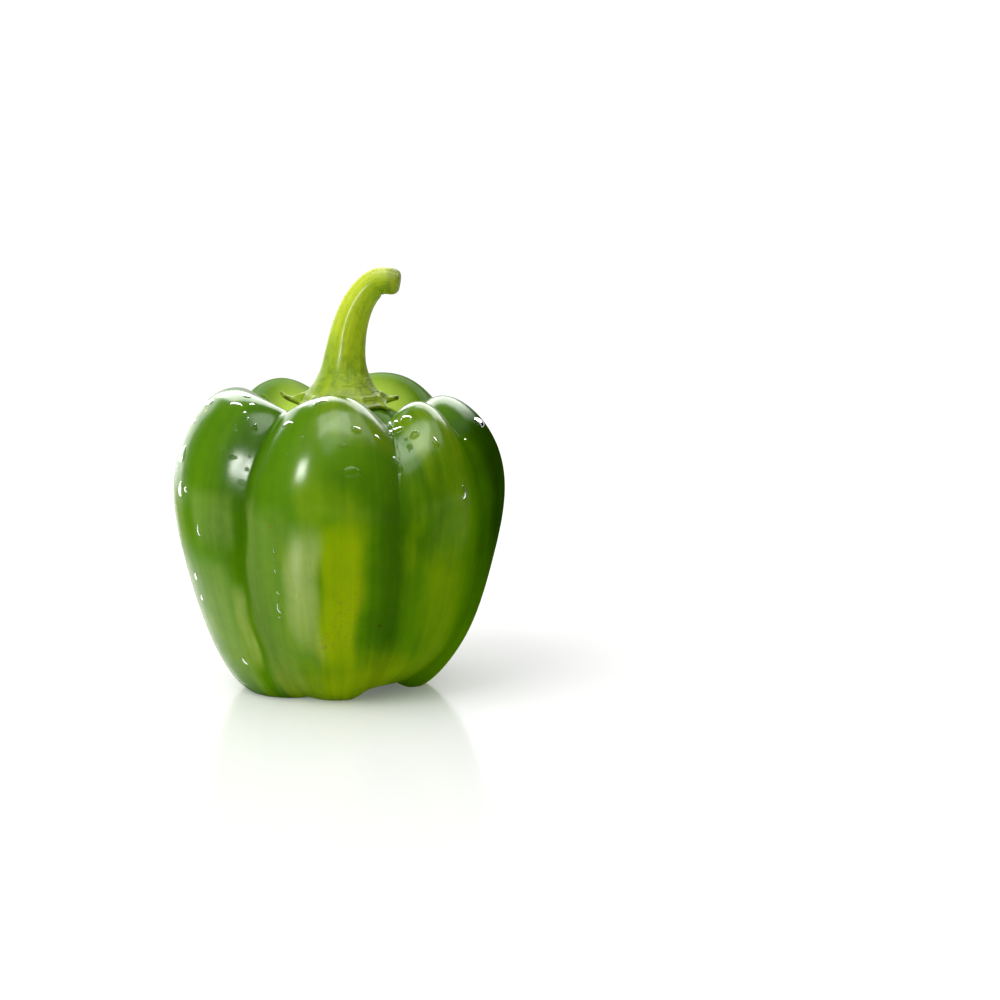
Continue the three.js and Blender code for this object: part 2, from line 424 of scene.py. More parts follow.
class Shader:
    """The node tree of one material, or of the world, filled through one method."""

    def __init__(self, tree: bpy.types.NodeTree) -> None:
        """Takes a tree and empties it."""
        self.tree = tree
        self.tree.nodes.clear()

    def node(self, kind: str, settings: dict[str, Setting], inputs: dict[str | int, Input]) -> bpy.types.Node:
        """Adds a node.

        Args:
            kind: The node's type.
            settings: The node's own settings, set before its inputs.
            inputs: Links or constants for its input sockets, by name or number.

        Returns:
            The node.
        """
        node = self.tree.nodes.new(kind)
        for name, setting in settings.items():
            setattr(node, name, setting)
        for name, value in inputs.items():
            if isinstance(value, Value):
                self.tree.links.new(value.socket, node.inputs[name])
            else:
                node.inputs[name].default_value = value
        return node

    def read(
        self, kind: str, settings: dict[str, Setting], inputs: dict[str | int, Input], output: str | int = 0
    ) -> Value:
        """Adds a node as node() does, and wraps one of its outputs."""
        return Value(self, self.node(kind, settings, inputs).outputs[output])

    def attribute(self, name: str, output: str = "Fac") -> Value:
        """A value that the mesh holds for each of its points."""
        return self.read("ShaderNodeAttribute", {"attribute_name": name}, {}, output)

    def stretched(self, coordinates: Value, scale: Scale) -> Value:
        """Coordinates times a scale on each axis."""
        return self.read("ShaderNodeVectorMath", {"operation": "MULTIPLY"}, {0: coordinates, 1: scale})

    def place(self) -> Value:
        """Object coordinates, in metres."""
        return self.read("ShaderNodeTexCoord", {}, {}, "Object")

    def noise(
        self, coordinates: Value, scale: float | Scale, detail: float = 3.0, roughness: float = 0.55
    ) -> Value:
        """Cloudy noise, 0 to 1 and mostly near a half.

        Args:
            coordinates: Where to read it.
            scale: Clouds per unit of the coordinates, the same on all axes or one number for each.
            detail: How many finer layers it has.
            roughness: How strong the finer layers are.

        Returns:
            The noise.
        """
        if isinstance(scale, tuple):
            coordinates, scale = self.stretched(coordinates, scale), 1.0
        settings = {"noise_dimensions": "3D", "normalize": True}
        inputs = {"Vector": coordinates, "Scale": scale, "Detail": detail, "Roughness": roughness}
        return self.read("ShaderNodeTexNoise", settings, inputs, "Fac")

    def step(self, value: Value, start: float, end: float) -> Value:
        """Smooth step from 0 where the value is start to 1 where it is end."""
        settings = {"interpolation_type": "SMOOTHSTEP", "clamp": True}
        return self.read("ShaderNodeMapRange", settings, {0: value, 1: start, 2: end, 3: 0.0, 4: 1.0})

    def blend(self, share: Value | float, first: Value | Colour, second: Value | Colour) -> Value:
        """Colour that goes from the first to the second with the share, 0 to 1."""
        settings = {"data_type": "RGBA", "clamp_factor": True}
        return self.read("ShaderNodeMix", settings, {0: share, 6: first, 7: second}, 2)

    def tinted(self, colour: Value | Colour, tint: Value | Colour, share: Value | float = 1.0) -> Value:
        """Colour multiplied by a tint, by the share."""
        settings = {"data_type": "RGBA", "blend_type": "MULTIPLY", "clamp_factor": True}
        return self.read("ShaderNodeMix", settings, {0: share, 6: colour, 7: tint}, 2)

    def bump(self, height: Value) -> Value:
        """Relief for the Normal socket, from a height in millimetres."""
        inputs = {"Height": height, "Distance": MM, "Strength": 1.0}
        return self.read("ShaderNodeBump", {}, inputs, "Normal")

    def principled(self, inputs: dict[str | int, Input]) -> None:
        """Makes the material's surface a Principled shader with these inputs."""
        bsdf = self.read("ShaderNodeBsdfPrincipled", {}, inputs, "BSDF")
        self.node("ShaderNodeOutputMaterial", {}, {"Surface": bsdf})


def new_material(name: str) -> tuple[bpy.types.Material, Shader]:
    """A new material and the shader that fills it."""
    material = bpy.data.materials.new(name)
    material.use_nodes = True
    return material, Shader(material.node_tree)


def grey(level: float) -> Colour:
    """A grey or white of one level."""
    return (level, level, level, 1.0)


@dataclass(frozen=True)
class Spot:
    """A small mark of its own colour on the skin, with its radius in millimetres."""

    azimuth: float
    s: float
    radius: float
    colour: Colour

    def place(self) -> tuple[float, ...]:
        """The mark's place in the skin's unrolled coordinates, in millimetres."""
        return tuple(unrolled(self.azimuth, self.s).tolist())


@dataclass(frozen=True)
class SkinFinish:
    """Waxy green skin: deep green with lime flushes, streaks, brown specks, painted sheen and painted shade,
    and soft relief.
    """

    # Near-black green: painted shade on the right side and the underside, where the dark value is strong.
    near_black_shade: Colour = (0.008, 0.03, 0.0003, 1.0)
    deep: Colour = (0.04, 0.12, 0.0002, 1.0)
    leaf: Colour = (0.078, 0.2, 0.0002, 1.0)
    lime: Colour = (0.235, 0.335, 0.0004, 1.0)
    # Pale seat green: a painted sheen of mirrored light on the rear lobes' inner slopes.
    seat: Colour = (0.56, 0.76, 0.1, 1.0)
    # Milky tone of the painted sheen: mirrored light painted into the colour.
    painted_sheen_tone: Colour = (0.29, 0.38, 0.09, 1.0)
    cork: Colour = (0.2, 0.13, 0.02, 1.0)
    scar: Colour = (0.12, 0.075, 0.03, 1.0)
    hair_tint: Colour = (0.62, 0.72, 0.5, 1.0)
    # Tint of the painted shade in the grooves.
    groove_shade_tint: Colour = (0.36, 0.46, 0.3, 1.0)
    roughness: float = 0.22
    gloss: float = 0.0
    wax_roughness: float = 0.19
    wax_refraction: float = 1.45
    spots: tuple[Spot, ...] = (
        Spot(-67.8, 0.347, 0.6, (0.5, 0.42, 0.02, 1.0)),
        Spot(-66.8, 0.432, 0.45, (0.16, 0.07, 0.01, 1.0)),
        Spot(19.5, 0.62, 0.35, (0.05, 0.03, 0.005, 1.0)),
        Spot(-21, 0.492, 0.3, (0.2, 0.1, 0.02, 1.0)),
    )

    def material(self) -> bpy.types.Material:
        """Builds the material.

        Its colour starts from cloudy leaf green, turns deep, near black or lime where the mesh says so,
        with streaks that run down the wall; the deep and near-black patches are partly the skin's own
        dark green and partly painted shade. It takes painted shade in the grooves, a painted sheen of
        mirrored light, a paler painted sheen on the rear lobes' inner slopes, a net of brown specks and
        a few spots. The relief is slow unevenness, streaks and a fine waviness.

        Returns:
            The material.
        """
        material, shader = new_material("waxy_green_skin")
        noise, step, blend = shader.noise, shader.step, shader.blend
        tinted, mark = shader.tinted, shader.attribute
        place, around = shader.place(), mark("around", "Vector")
        clouds = noise(place, 60.0, 4.0)
        mottle = noise(place, 260.0)
        peel = noise(place, 1400.0, 2.0)
        streaks = noise(around, (0.35, 0.35, 0.018), 4.0, 0.6)
        hairs = noise(around, (1.6, 1.6, 0.05), 2.0, 0.6)
        net = noise(around, (1.3, 1.3, 1.1), 4.0, 0.8)
        dark, scar = mark("dark"), mark("scar")
        # Deep green where the dark value is high: partly the skin's own dark green, partly painted shade.
        leafy = step(clouds * 0.7 + streaks * 0.5 + mottle * 0.3 - dark, 0.1, 0.95)
        green = blend(leafy, self.deep, self.leaf)
        # Near black where the dark value is strong: painted shade.
        green = blend(step(dark + (streaks + clouds - 1.0) * 0.4, 0.5, 1.1), green, self.near_black_shade)
        flush = mark("lime") + (streaks - 0.5) * 0.5 + (hairs - 0.5) * 0.12 + (clouds - 0.5) * 0.8
        green = blend(step(flush, 0.05, 1.15), green, self.lime)
        green = tinted(green, self.hair_tint, step(hairs, 0.5, 0.75) * 0.18)
        # Painted shade: the skin darkened in the grooves.
        green = tinted(green, self.groove_shade_tint, mark("groove") * 0.95)
        # Painted sheen of mirrored light, pale green, on the rear lobes' inner slopes round the stem seat.
        green = blend(mark("seat") * (0.9 + 0.4 * (clouds - 0.5)), green, self.seat)
        # Painted sheen: milky mirrored light painted into the colour, which also roughens the skin there.
        painted_sheen = mark("painted_sheen") * (0.72 + 0.7 * (streaks - 0.5) + 0.5 * (mottle - 0.5))
        green = blend(painted_sheen * 0.85, green, self.painted_sheen_tone)
        cork = step(net, 0.575, 0.62) * mark("speckled") * step(clouds, 0.35, 0.6) * 0.7
        green = blend(cork, green, self.cork)
        for spot in self.spots:
            places = {0: around, 1: spot.place()}
            distance = shader.read("ShaderNodeVectorMath", {"operation": "DISTANCE"}, places, "Value")
            inside = step(distance + mottle * 0.4, spot.radius + 0.4, spot.radius * 0.4)
            green = blend(inside, green, spot.colour)
        green = blend(scar, green, self.scar)
        height = clouds * 0.4 + streaks * 0.12 + mottle * 0.035 + peel * 0.004 + scar * mottle * 0.5
        skin = {
            "Base Color": green,
            "Roughness": self.roughness + 0.08 * mottle + 0.15 * painted_sheen + 0.2 * cork + 0.4 * scar,
            "Specular IOR Level": self.gloss,
            "Normal": shader.bump(height),
            "Coat Weight": mark("wax") * (0.75 + 0.5 * (mottle - 0.5)),
            "Coat Roughness": self.wax_roughness,
            "Coat IOR": self.wax_refraction,
        }
        shader.principled(skin)
        return material


@dataclass(frozen=True)
class StalkFinish:
    """Fibrous yellow-green stalk: ribbed, with painted light on its left, at the collar and along a ridge,
    painted shade on its right and under its bend, and dark where cut.
    """

    green: Colour = (0.29, 0.42, 0.0004, 1.0)
    # Pale yellow-green: the lighter fibres, and painted light where the pale value is high.
    pale: Colour = (0.6, 0.66, 0.02, 1.0)
    deep: Colour = (0.13, 0.26, 0.0004, 1.0)
    # Near white: the painted highlight along the ridge and near the cut end.
    painted_highlight: Colour = (0.85, 0.9, 0.5, 1.0)
    # Collar green: painted light on the collar's front.
    collar: Colour = (0.4, 0.5, 0.1, 1.0)
    dry: Colour = (0.12, 0.06, 0.012, 1.0)
    cut: Colour = (0.13, 0.18, 0.008, 1.0)
    thread_tint: Colour = (0.72, 0.8, 0.5, 1.0)
    mottle_tint: Colour = (0.75, 0.8, 0.6, 1.0)
    roughness: float = 0.34
    gloss: float = 0.14

    def material(self) -> bpy.types.Material:
        """Builds the material.

        The green is streaked along the fibres and mottled, with painted light where the mesh's pale
        value is high and a painted highlight along the ridge, deeper at the foot, with painted shade
        where the mesh's shaded value is high, the crease among them, painted light on the collar's front,
        brown on the dried tooth tips and olive at the cut end. The relief is fibres, grain and wrinkles.

        Returns:
            The material.
        """
        material, shader = new_material("fibrous_green_stalk")
        noise, step, blend = shader.noise, shader.step, shader.blend
        tinted, mark = shader.tinted, shader.attribute
        place, along, ridge = shader.place(), mark("along", "Vector"), mark("ridge")
        clouds = noise(place, 160.0, 4.0)
        mottle = noise(place, 520.0)
        grain = noise(place, 1700.0)
        fibres = noise(along, (3.2, 3.2, 9.0), 4.0, 0.6)
        threads = noise(along, (14.0, 14.0, 22.0), 4.0, 0.65)
        wrinkles = noise(along, (3.0, 3.0, 260.0), 3.0, 0.6)
        green = blend(step(fibres * 0.6 + clouds * 0.4, 0.42, 0.66) * 0.5, self.green, self.pale)
        green = blend(mark("foot") * step(clouds * 0.6 + mottle * 0.4, 0.38, 0.62), green, self.deep)
        green = blend(mark("shaded") * step(clouds + mottle * 0.4, 0.45, 0.85), green, self.deep)
        # Painted light: the stalk's left side, its end and a lit line at the calyx's right edge.
        green = blend(mark("pale") * (0.6 + 0.6 * (threads - 0.5)), green, self.pale)
        # Painted highlight along the fine ridge and near the cut end.
        green = blend(ridge * step(threads, 0.35, 0.6) * 0.75, green, self.painted_highlight)
        # Painted light on the collar's front.
        green = blend(mark("collar") * 0.85, green, self.collar)
        green = tinted(green, self.thread_tint, step(threads, 0.5, 0.72) * 0.5)
        green = tinted(green, self.mottle_tint, step(mottle, 0.5, 0.7) * 0.5)
        dry = step(mark("dry") + (mottle - 0.5) * 0.7, 0.4, 0.8)
        green = blend(dry, green, self.dry)
        green = blend(mark("cut") * (0.6 + (mottle - 0.5) * 0.6), green, self.cut)
        fibrous = fibres * 0.25 + threads * 0.1 + grain * 0.03 + mottle * 0.06
        stalk = {
            "Base Color": green,
            "Roughness": self.roughness + 0.3 * dry + 0.15 * clouds - 0.18 * ridge,
            "Specular IOR Level": self.gloss,
            "Normal": shader.bump(fibrous + mark("wrinkled") * wrinkles * 0.3),
        }
        shader.principled(stalk)
        return material


@dataclass(frozen=True)
class WaterFinish:
    """Clear water, which bends light less than real water so that small drops stay light."""

    refraction: float = 1.15
    roughness: float = 0.03

    def material(self) -> bpy.types.Material:
        """Builds the material, a smooth clear liquid.

        Returns:
            The material.
        """
        material, shader = new_material("clear_water")
        clear = {"Roughness": self.roughness, "IOR": self.refraction, "Transmission Weight": 1.0}
        shader.principled({"Base Color": grey(1.0), **clear})
        return material


@dataclass(frozen=True)
class TableFinish:
    """White, faintly glowing table top with a soft gloss, as photographers use for bright grounds."""

    white: Colour = (0.95, 0.95, 0.94, 1.0)
    glow: float = 0.14
    roughness: float = 0.1
    gloss: float = 0.5

    def material(self) -> bpy.types.Material:
        """Builds the material, white with hardly seen clouds in its gloss.

        Returns:
            The material.
        """
        material, shader = new_material("white_table")
        clouds = shader.noise(shader.place(), 9.0)
        table = {
            "Base Color": shader.tinted(self.white, grey(0.98), clouds),
            "Roughness": self.roughness + 0.06 * clouds,
            "Specular IOR Level": self.gloss,
            "Emission Color": self.white,
            "Emission Strength": self.glow,
        }
        shader.principled(table)
        return material


@dataclass(frozen=True)
class Patch:
    """A patch of the skin. It is full between two azimuths and from one s to another.

    Beyond its left, right, upper and lower edge it fades over the softness given for that edge.
    """

    left: float
    right: float
    top: float
    foot: float
    soft_left: float
    soft_right: float
    soft_top: float
    soft_foot: float
    strength: float = 1.0

    def share(self, azimuth: Array, s: Array) -> Array:
        """How strong the patch is: smooth steps at its four edges, multiplied.

        Args:
            azimuth: Azimuths of the places.
            s: Their places along the crest line.

        Returns:
            The patch's strength at each place.
        """
        middle, half = (self.left + self.right) / 2, (self.right - self.left) / 2
        off = turn_between(azimuth, middle)
        across = plateau(off, -half, half, self.soft_left, self.soft_right)
        along = plateau(s, self.top, self.foot, self.soft_top, self.soft_foot)
        return self.strength * across * along


def patches(*table: tuple[float, ...]) -> tuple[Patch, ...]:
    """The patches of a table with one row a patch, in the order of its fields."""
    return tuple(Patch(*row) for row in table)


def covered(marks: tuple[Patch, ...], azimuth: Array, s: Array) -> Array:
    """Strength, 0 to 1, of the strongest of the patches at each place."""
    return np.max([patch.share(azimuth, s) for patch in marks], axis=0)


@dataclass(frozen=True)
class Fruit:
    """The fruit's skin, on a fine grid that lies along the grooves."""

    form: PodForm
    columns_a_lobe: int = 66
    rows: int = 232
    scar_height: float = 0.6
    # Lime flushes of the skin's own colour. The one on the front shoulder, from azimuth 2 to 24, is also
    # painted light where the window above is mirrored.
    limes: tuple[Patch, ...] = patches(
        (-1, 8, 0.55, 0.64, 10, 8, 0.14, 0.14, 0.84), (-16, -5, 0.54, 0.62, 8, 6, 0.06, 0.1, 0.5),
        (2, 24, 0.29, 0.345, 16, 10, 0.05, 0.06, 0.5), (37, 52, 0.32, 0.42, 6, 10, 0.06, 0.12, 0.42),
        (-8, 4, 0.48, 0.54, 8, 10, 0.1, 0.1, 0.4), (-24, 26, 0.75, 0.92, 14, 30, 0.16, 0.05, 0.72),
        (-78, -54, 0.7, 0.8, 24, 14, 0.22, 0.1, 0.3), (-42.5, -38.5, 0.66, 0.78, 8, 3, 0.1, 0.1, 0.35),
        (29, 32, 0.42, 0.5, 5, 6, 0.06, 0.12, 0.28), (44, 52, 0.56, 0.8, 14, 16, 0.2, 0.1, 0.38),
        (84, 98, 0.72, 0.86, 18, 20, 0.24, 0.08, 0.5), (142, 158, 0.5, 0.82, 18, 16, 0.16, 0.1, 0.75),
        (-148, -130, 0.55, 0.84, 16, 20, 0.16, 0.1, 0.6),
    )
    # Darker patches. They are partly the skin's own dark green streaks and partly painted shade: near black
    # on the right side, beside the left groove at the foot, and all round the underside by the table. Darker
    # strips also run beside the grooves at the back.
    darks_and_painted_shade: tuple[Patch, ...] = patches(
        (19, 26, 0.52, 0.64, 8, 9, 0.1, 0.12, 0.42), (35, 39, 0.42, 0.5, 6, 6, 0.06, 0.12, 0.3),
        (6, 12, 0.43, 0.45, 10, 8, 0.04, 0.06, 0.2), (80, 100, 0.38, 0.48, 20, 20, 0.1, 0.28, 0.9),
        (-43, -34, 0.34, 0.46, 10, 6, 0.1, 0.14, 0.35), (-60, -27, 0.82, 0.97, 18, 5, 0.12, 0.02, 0.5),
        (-14, 24, 0.9, 0.97, 6, 12, 0.06, 0.02, 0.35), (-120, 120, 0.93, 1.0, 20, 20, 0.08, 0.01, 0.6),
        (118, 134, 0.4, 0.7, 14, 14, 0.1, 0.16, 0.45), (180, 204, 0.4, 0.68, 14, 14, 0.1, 0.16, 0.45),
        (-122, -106, 0.4, 0.68, 14, 14, 0.1, 0.16, 0.4),
    )
    sheens: tuple[Patch, ...] = patches(
        (-180, 180, 0.0, 0.43, 0.1, 0.1, 0.01, 0.07), (-13, -7.5, 0.53, 0.59, 8, 6, 0.08, 0.13, 0.95),
        (-33, -27, 0.5, 0.72, 2, 8, 0.05, 0.1, 0.25), (-27, -7, 0.5, 0.7, 4, 1.5, 0.05, 0.15, 0.15),
        (-56, -44, 0.47, 0.5, 6, 5, 0.03, 0.05, 0.4), (-72, -48, 0.6, 0.7, 10, 10, 0.1, 0.12, 0.85),
        (-110, -80, 0.46, 0.68, 20, 12, 0.05, 0.12, 0.75), (40, 52, 0.4, 0.48, 8, 6, 0.03, 0.08, 0.2),
        (125, 235, 0.4, 0.9, 20, 20, 0.05, 0.06, 0.45),
    )
    dull: tuple[Patch, ...] = patches(
        (60, 122, 0.37, 0.98, 10, 8, 0.08, 0.01), (118, 246, 0.0, 0.3, 12, 12, 0.01, 0.05, 0.9),
        (-180, 180, 0.0, 0.17, 0.1, 0.1, 0.01, 0.05, 0.9),
    )
    # Patches of painted sheen: mirrored light painted into the colour.
    painted_sheens: tuple[Patch, ...] = patches(
        (-13, -6, 0.54, 0.57, 7, 4, 0.07, 0.13, 0.9), (-33, -20, 0.5, 0.7, 2, 8, 0.05, 0.12, 0.25),
        (-56, -44, 0.47, 0.5, 6, 5, 0.03, 0.05, 0.25), (-98, -72, 0.49, 0.62, 14, 12, 0.06, 0.14, 0.55),
        (-60, -48, 0.57, 0.64, 10, 10, 0.04, 0.12, 0.25), (-41, -38, 0.6, 0.66, 4, 2, 0.04, 0.06, 0.75),
        (-33.5, -31.5, 0.48, 0.7, 2.5, 3, 0.04, 0.08, 0.3),
    )
    speckled: tuple[Patch, ...] = patches((-5, 13, 0.56, 0.7, 4, 4, 0.04, 0.05))
    finish: SkinFinish = SkinFinish()

    def grid(self) -> tuple[Array, Array]:
        """Azimuths and s of the rings' points.

        A column keeps its share of the way across its lobe, half evenly and half as a sine, which
        sets the columns closer at the grooves.

        Returns:
            The azimuths and the s values, both (ring, column).
        """
        s = np.arange(1, self.rows)[:, None] / self.rows
        edges = self.form.edges(s[:, 0])
        across = 2 * np.arange(self.columns_a_lobe) / self.columns_a_lobe - 1
        eased = 0.5 * across + 0.5 * np.sin(np.pi / 2 * across)
        low, high = edges[:, :-1, None], edges[:, 1:, None]
        azimuth = ((low + high) / 2 + (high - low) / 2 * eased).reshape(self.rows - 1, -1)
        return azimuth, np.broadcast_to(s, azimuth.shape)

    def values(self, azimuth: Array, s: Array) -> dict[str, Array]:
        """What the skin's material reads at places on it.

        Args:
            azimuth: Azimuths of the places.
            s: Their places along the crest line.

        Returns:
            One array for each name, with one row a place.
        """
        angle = np.radians(azimuth)
        pinch = self.form.around(azimuth, s).pinch
        wandering = azimuth + 2.0 * np.sin(21 * s + 3 * np.sin(angle)) + 0.9 * np.sin(61 * s + 1)
        crisp = azimuth + 1.1 * np.sin(33 * s + 1) + 0.5 * np.sin(83 * s)
        return {
            "around": unrolled(azimuth, s),
            "lime": covered(self.limes, wandering, s),
            # Dark value: the skin's own dark green, and painted shade on the right side and the underside.
            "dark": covered(self.darks_and_painted_shade, wandering, s),
            "wax": (0.04 + 0.96 * covered(self.sheens, crisp, s)) * (1 - covered(self.dull, crisp, s)),
            # Painted sheen: where mirrored light is painted into the colour.
            "painted_sheen": covered(self.painted_sheens, crisp, s),
            # Painted sheen on the rear lobes' inner slopes near the stem seat, away from the front.
            "seat": (1 - smoother(s, 0.17, 0.3)) * smoother(np.abs(turn_between(azimuth, 0.0)), 76, 112),
            # Painted shade in the grooves, strongest at their bottoms.
            "groove": pinch**2 * hump(s, 0.2, 0.5, 1.0),
            "speckled": covered(self.speckled, wandering, s),
            "scar": smoother(s, 0.974, 0.98),
        }

    def build(self) -> bpy.types.Object:
        """Makes the skin, dressed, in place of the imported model's fruit.

        The scar is the skin round the lower pole, moved down by a smooth step.

        Returns:
            The object.
        """
        azimuth, s = self.grid()
        points = self.form.skin(azimuth, s)
        points[..., 2] -= self.scar_height * MM * smoother(s, 0.97, 0.982)
        poles = np.zeros(2), np.array([0.0, 1.0])
        ends = self.form.skin(*poles)
        ends[1, 2] -= self.scar_height * MM
        inner, at_poles = self.values(azimuth, s), self.values(*poles)
        values = {key: pole_to_pole(at_poles[key][:1], inner[key], at_poles[key][1:]) for key in inner}
        obj = join_surfaces("pepper_skin", [RingSurface(ends[0], points, ends[1], values)])
        obj.data.materials.append(self.finish.material())
        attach(obj, BODY)
        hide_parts("fruit")
        return obj


@dataclass(frozen=True)
class Tooth:
    """A tooth of the calyx's rim: where it points, its length in s, its rise and bulge in mm."""

    azimuth: float
    length: float
    rise: float
    bulge: float


class Zone(Enum):
    """The stretches of the stem's surface, in the order of its rings."""

    CUT = 0
    STALK = 1
    TOP = 2
    UNDER = 3


@dataclass(frozen=True)
class StemRings:
    """The rings of the stem's surface and where each one lies.

    points is (ring, column, 3). zone holds each ring's stretch, and share how far along it the
    ring is: up the stalk from 0 to 1, or out over the calyx from 0 to 1.
    """

    points: Array
    zone: Array
    share: Array


@dataclass(frozen=True)
class Stem:
    """Stalk and calyx in one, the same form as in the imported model, in millimetres."""

    form: PodForm
    calyx_gap: float = 0.3
    calyx_start: float = 0.072
    calyx_rim: float = 0.092
    calyx_root: float = 3.6
    calyx_edge: float = 0.9
    collar_height: float = 0.5
    tooth_half_width: float = 5
    teeth: tuple[Tooth, ...] = (
        Tooth(-100, 0.066, 5.2, 1.8),
        Tooth(-45, 0.025, 0.4, 0.4),
        Tooth(30, 0.02, 0.8, 0.6),
        Tooth(70, 0.02, 0.3, 0.4),
        Tooth(115, 0.05, 4.2, 1.4),
        Tooth(-165, 0.05, 0.8, 0.6),
    )
    stalk_line: tuple[tuple[float, float, float], ...] = (
        (1.9, 0, 83.4),
        (2.1, 0.1, 87),
        (2.4, 0.3, 91),
        (2.9, 0.6, 95),
        (3.8, 0.9, 99.5),
        (5.3, 1.1, 104),
        (7.7, 1.2, 108.3),
        (11, 1.1, 111.4),
        (13.2, 0.9, 111.6),
        (15.1, 0.7, 111.3),
    )
    stalk_radii: tuple[float, ...] = (8.3, 6.4, 5.6, 5.15, 4.75, 4.4, 4.05, 3.75, 3.65, 3.55)
    rib_count: int = 5
    rib_azimuth: float = -15
    rib_share: float = 0.04
    ridge_height: float = 0.16
    crease_depth: float = 0.3
    cut_end: tuple[tuple[float, float], ...] = (
        (0.985, 0.6),
        (0.93, 1.2),
        (0.83, 1.75),
        (0.68, 2.1),
        (0.48, 2.2),
        (0.25, 2.05),
    )
    cut_middle: float = 2
    columns: int = 320
    stalk_rows: int = 130
    calyx_rows: int = 60
    under_rows: int = 12
    finish: StalkFinish = StalkFinish()

    def azimuths(self) -> Array:
        """Azimuths of the columns, evenly round."""
        return 360.0 * np.arange(self.columns) / self.columns

    def tooth_sum(self, azimuth: Array, measure: str) -> Array:
        """Sum of one field of the teeth, each times a bell curve of the turn from its middle."""
        return sum(
            getattr(tooth, measure) * facing(azimuth, tooth.azimuth, self.tooth_half_width)
            for tooth in self.teeth
        )

    def calyx(self, azimuth: Array, start: float, share: Array, thickness: Array | float) -> Array:
        """Points of the calyx: the skin under it, raised by the gap, the tooth's rise and a thickness.

        Args:
            azimuth: Azimuths of the points.
            start: The s where the calyx begins.
            share: Shares of the way from there to the rim.
            thickness: Millimetres above the calyx's underside.

        Returns:
            The points in metres.
        """
        rim = self.calyx_rim + self.tooth_sum(azimuth, "length")
        points = self.form.skin(azimuth, start + (rim - start) * share)
        points[..., 2] += (self.calyx_gap + self.tooth_sum(azimuth, "rise") * share**2 + thickness) * MM
        return points

    def calyx_top(self, azimuth: Array, share: Array) -> Array:
        """Upper side of the calyx: thick at the stalk, with a raised ring and bulging teeth.

        The thickness falls with the square of the way to the rim, plus a bell curve for the ring,
        plus the teeth's bulge times the way squared less its eighth power.

        Args:
            azimuth: Azimuths of the points.
            share: Shares of the way to the rim.

        Returns:
            The points in metres.
        """
        thickness = (
            self.calyx_edge
            + (self.calyx_root - self.calyx_edge) * (1 - share) ** 2
            + self.collar_height * bell(share, 0.3, 0.15)
            + self.tooth_sum(azimuth, "bulge") * (share**2 - share**8)
        )
        return self.calyx(azimuth, self.calyx_start, share, thickness)

    def stalk_centre(self, u: Array) -> Array:
        """Points of the stalk's middle line at u, in millimetres: a B-spline in each axis."""
        line = np.array(self.stalk_line, float)
        return np.stack([spline(line[:, axis], u, False) for axis in range(3)], -1)

    def stalk(self, u: Array, share: Array, onward: Array) -> Array:
        """Rings round the stalk: a ribbed circle square to the middle line at each u.

        The circle's radius is the B-spline of the radii times the share. The ribs are a cosine of
        the azimuth that grows from nothing at the calyx. One rib has a fine ridge, and the inside
        of the bend a crease, both bell curves.

        Args:
            u: Place along the stalk of each ring, 0 at the calyx and 1 at the cut end.
            share: Share of the stalk's radius of each ring.
            onward: How far each ring is moved on along the stalk, in millimetres.

        Returns:
            The rings' points in metres.
        """
        step = 0.001
        along = self.stalk_centre(u + step) - self.stalk_centre(u - step)
        along /= np.linalg.norm(along, axis=-1, keepdims=True)
        back = np.array([0.0, 1.0, 0.0]) - along[:, 1:2] * along
        back /= np.linalg.norm(back, axis=-1, keepdims=True)
        right = np.cross(back, along)
        azimuth, u_rows = self.azimuths()[None], u[:, None]
        angle = np.radians(azimuth)
        rib = self.rib_share * np.cos(self.rib_count * (angle - math.radians(self.rib_azimuth)))
        ridge = self.ridge_height * self.ridge(azimuth, u_rows)
        crease = self.crease_depth * self.crease(azimuth, u_rows)
        smooth_radius = spline(np.array(self.stalk_radii), u, False)[:, None]
        radius = share[:, None] * (smooth_radius * (1 + rib * smoother(u_rows, 0.0, 0.25)) + ridge - crease)
        centre = self.stalk_centre(u) + along * onward[:, None]
        side = right[:, None] * np.sin(angle)[..., None] - back[:, None] * np.cos(angle)[..., None]
        return (centre[:, None] + radius[..., None] * side) * MM

    def ridge(self, azimuth: Array, u: Array) -> Array:
        """How much of the fine ridge places on the stalk meet, 0 to 1."""
        line = facing(azimuth, self.rib_azimuth + 2 * np.sin(9 * u), 3.6)
        return line * smoother(u, 0.1, 0.22) * (1 - smoother(u, 0.6, 0.82))

    def crease(self, azimuth: Array, u: Array) -> Array:
        """How much of the crease inside the bend places on the stalk meet, 0 to 1."""
        return facing(azimuth, 85.0, 50.0) * bell(u, 0.76, 0.02)

    def rings(self) -> StemRings:
        """All rings: over the cut end, down the stalk, out over the calyx and back in under it.

        Returns:
            The rings.
        """
        azimuth = self.azimuths()[None]
        cut = np.array(self.cut_end[::-1], float)
        down = np.arange(self.stalk_rows, -1, -1) / self.stalk_rows
        out = np.arange(self.calyx_rows + 1) / self.calyx_rows
        back = np.arange(self.under_rows, 0, -1) / self.under_rows
        points = (
            self.stalk(np.ones(len(cut)), cut[:, 0], cut[:, 1]),
            self.stalk(down, np.ones(len(down)), np.zeros(len(down))),
            self.calyx_top(azimuth, out[:, None]),
            self.calyx(azimuth, 0.0, back[:, None], 0.0),
        )
        zones = np.repeat([zone.value for zone in Zone], [len(part) for part in points])
        return StemRings(np.concatenate(points), zones, np.concatenate([np.ones(len(cut)), down, out, back]))

